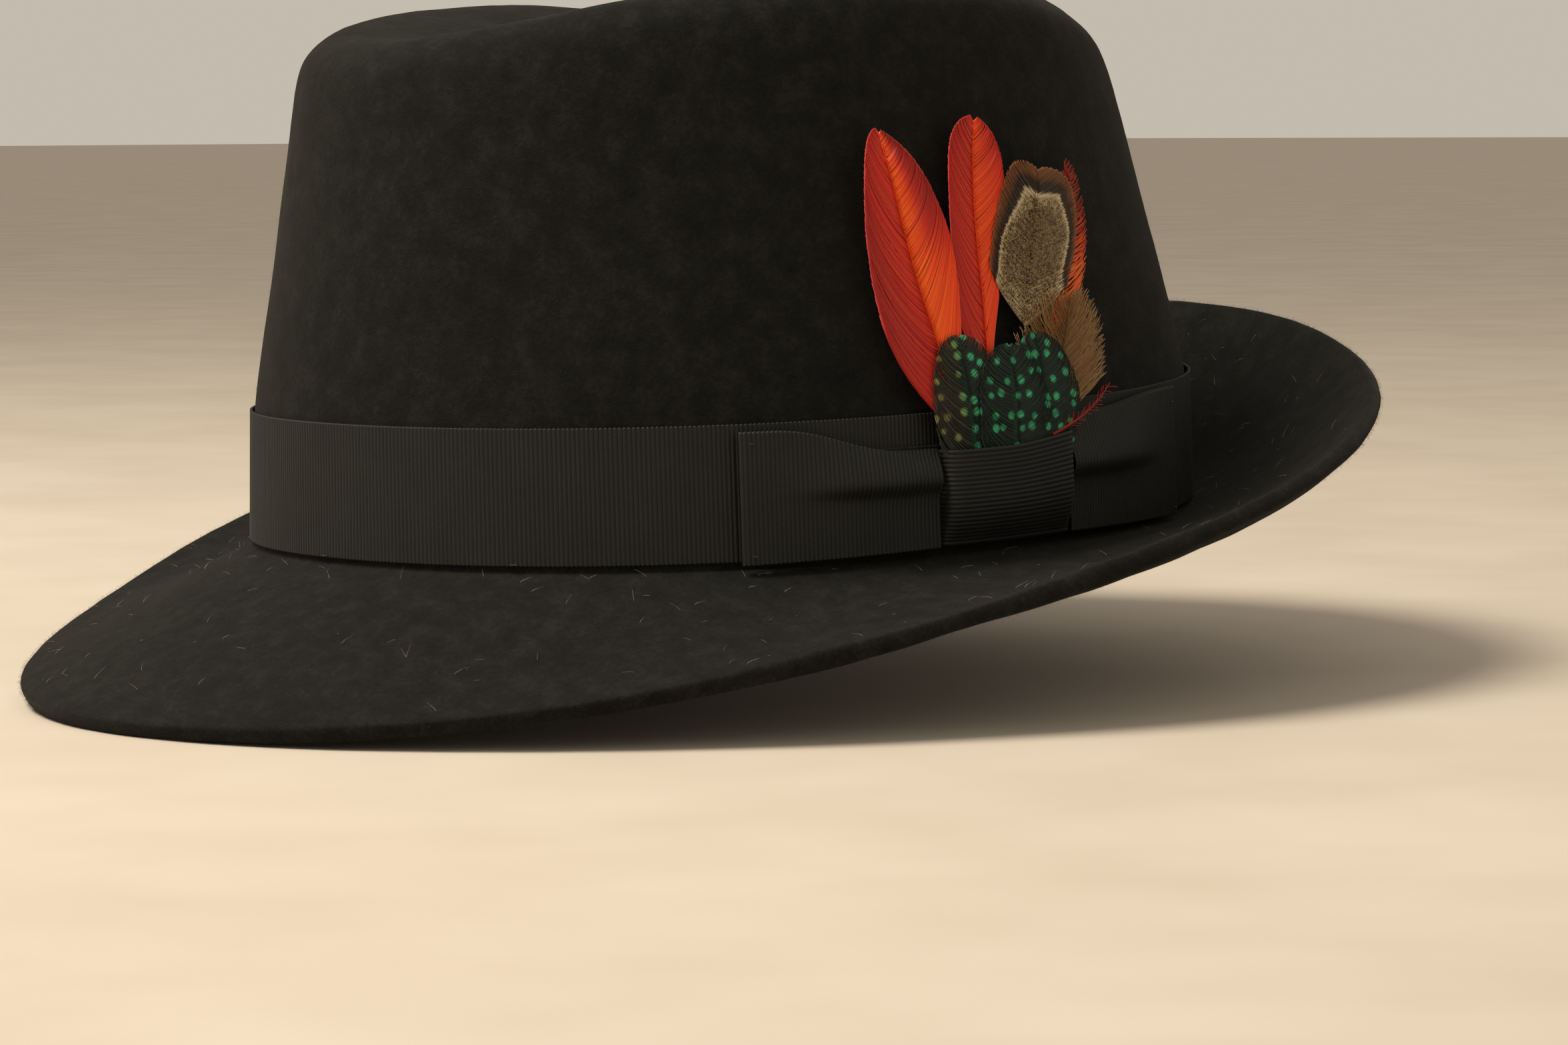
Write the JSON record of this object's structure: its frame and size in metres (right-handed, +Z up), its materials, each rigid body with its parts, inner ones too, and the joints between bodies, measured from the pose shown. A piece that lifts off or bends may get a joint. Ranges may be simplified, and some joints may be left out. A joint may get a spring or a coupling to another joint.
{
  "type": "fedora hat",
  "caption": "Short-brim felt fedora with a dented crown, ribbon band and flat bow, and a fan of feathers that lifts out of the bow's knot.",
  "frame": {"origin": "centre of the head opening, at the level where the crown meets the brim at the front", "axes": "+Z up through the crown, -Y to the front of the hat, +X to the wearer's left, the side with the bow and the feathers"},
  "size_m": [0.2618, 0.298, 0.1442],
  "materials": {
    "black_fur_felt": "matte felted fur with a short nap",
    "black_grosgrain": "ribbed ribbon with a low sheen",
    "black_thread": "spun thread",
    "black_buckram": "stiffened open weave",
    "brown_leather": "smooth roan leather, satin",
    "reed_plastic": "extruded, satin",
    "woven_tape": "woven cotton tape",
    "tan_thread": "waxed thread",
    "narrow_ribbon": "satin ribbon",
    "lining_satin": "satin with a soft sheen",
    "piping_satin": "satin piping",
    "clear_sheet": "thin clear film, gloss",
    "backing_card": "pressed card",
    "binding_thread": "wound thread",
    "red_feather": "dyed feather, soft sheen along the barbs",
    "pheasant_feather": "barred feather",
    "red_hackle": "dyed feather",
    "brown_down": "loose down",
    "guinea_feather": "dark feather with round light spots",
    "red_quill": "bare quill, satin"
  },
  "bodies": {
    "hat": {"felt_body": "black_fur_felt", "hat_band": "black_grosgrain", "band_join_stitches": "black_thread", "band_tack_stitches": "black_thread", "bow_backing_strip": "black_buckram", "bow_front_loop": "black_grosgrain", "bow_rear_loop": "black_grosgrain", "bow_knot": "black_grosgrain", "bow_tack_stitches": "black_thread", "sweatband": "brown_leather", "sweatband_reed": "reed_plastic", "reed_tape": "woven_tape", "sweatband_stitches": "tan_thread", "sweatband_rear_bow": "narrow_ribbon", "lining_side": "lining_satin", "lining_seam_piping": "piping_satin", "lining_tip": "lining_satin", "lining_tip_shield": "clear_sheet"},
    "feather_mount": {"feather_backing_card": "backing_card", "quill_binding": "binding_thread", "red_feather_front": "red_feather", "red_feather_rear": "red_feather", "pheasant_feather": "pheasant_feather", "red_hackle": "red_hackle", "brown_down_feather": "brown_down", "guinea_feather_front": "guinea_feather", "guinea_feather_middle": "guinea_feather", "guinea_feather_rear": "guinea_feather", "loose_quill": "red_quill"}
  },
  "joints": [
    {"name": "feather_mount_pull", "type": "slide", "parent": "hat", "child": "feather_mount", "axis": [-0.052, 0, 0.9986], "range_m": [0, 0.03]}
  ]
}
